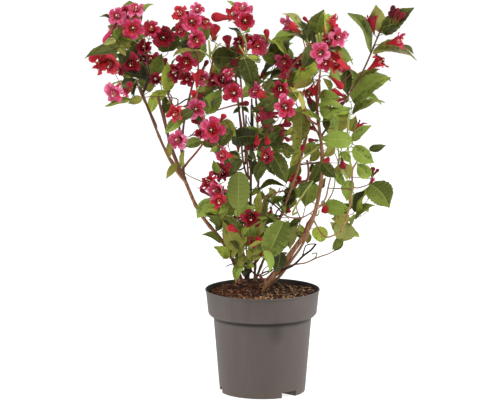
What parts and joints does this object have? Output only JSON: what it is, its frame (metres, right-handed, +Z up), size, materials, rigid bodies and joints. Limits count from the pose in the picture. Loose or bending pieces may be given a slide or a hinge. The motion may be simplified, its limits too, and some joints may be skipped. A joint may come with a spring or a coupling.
{
  "type": "potted weigela shrub",
  "caption": "Young flowering weigela, an open fan of thin canes with leaf sprays and crimson-pink trumpet blossom, in a tapered plastic nursery pot.",
  "frame": {"origin": "centre of the pot's flat underside", "axes": "+Z up, -Y towards the plant's front, +X to the right of someone who looks at the front"},
  "size_m": [0.541, 0.381, 0.652],
  "materials": {
    "pot": "matt, warm grey",
    "compost": "rough bark chips and fibre",
    "bark": "thin ridged bark",
    "leaf": "satin leaf",
    "blossom": "soft petal"
  },
  "bodies": {
    "root": {"pot": "pot", "compost": "compost", "cane_right": "bark", "cane_left": "bark", "cane_middle": "bark", "cane_centre": "bark", "cane_back_middle": "bark", "cane_back_right": "bark", "bough_left_outer": "bark", "bough_left_middle": "bark", "bough_back_left": "bark", "bough_left_inner": "bark", "bough_middle_left": "bark", "bough_middle_right": "bark", "bough_right_inner": "bark", "bough_right_upper": "bark", "bough_tip": "bark", "shoot_right_low": "bark", "shoot_right_outer": "bark", "leaves_left_tip": "leaf", "leaves_left_inner": "leaf", "leaves_left_middle": "leaf", "leaves_right_centre": "leaf", "leaves_centre_dark": "leaf", "leaves_right_upper": "leaf", "leaves_tip_left": "leaf", "leaves_tip_right": "leaf", "leaves_right_shoulder": "leaf", "leaves_right_middle": "leaf", "leaves_right_bright": "leaf", "leaves_right_low": "leaf", "leaves_right_bottom": "leaf", "leaves_right_inner": "leaf", "leaves_low_left": "leaf", "leaves_foot": "leaf", "leaf_front": "leaf", "leaves_low_right": "leaf", "leaves_back_left": "leaf", "leaves_back_upper_right": "leaf", "leaves_back_middle": "leaf", "leaves_back_right": "leaf", "leaves_back_low": "leaf", "leaves_back_low_right": "leaf", "bloom_left_top": "blossom", "bloom_left_shoulder": "blossom", "bloom_left_low": "blossom", "bloom_upper_left": "blossom", "bloom_middle_left": "blossom", "bloom_inner_left": "blossom", "bloom_centre_left": "blossom", "bloom_top_centre": "blossom", "bloom_centre_upper": "blossom", "bloom_centre_middle": "blossom", "bloom_right_centre": "blossom", "bloom_right_top": "blossom", "bloom_right_upper": "blossom", "bloom_tip_top": "blossom", "bloom_low_left": "blossom", "bloom_back_upper_left": "blossom", "bloom_back_upper": "blossom"}
  },
  "joints": []
}
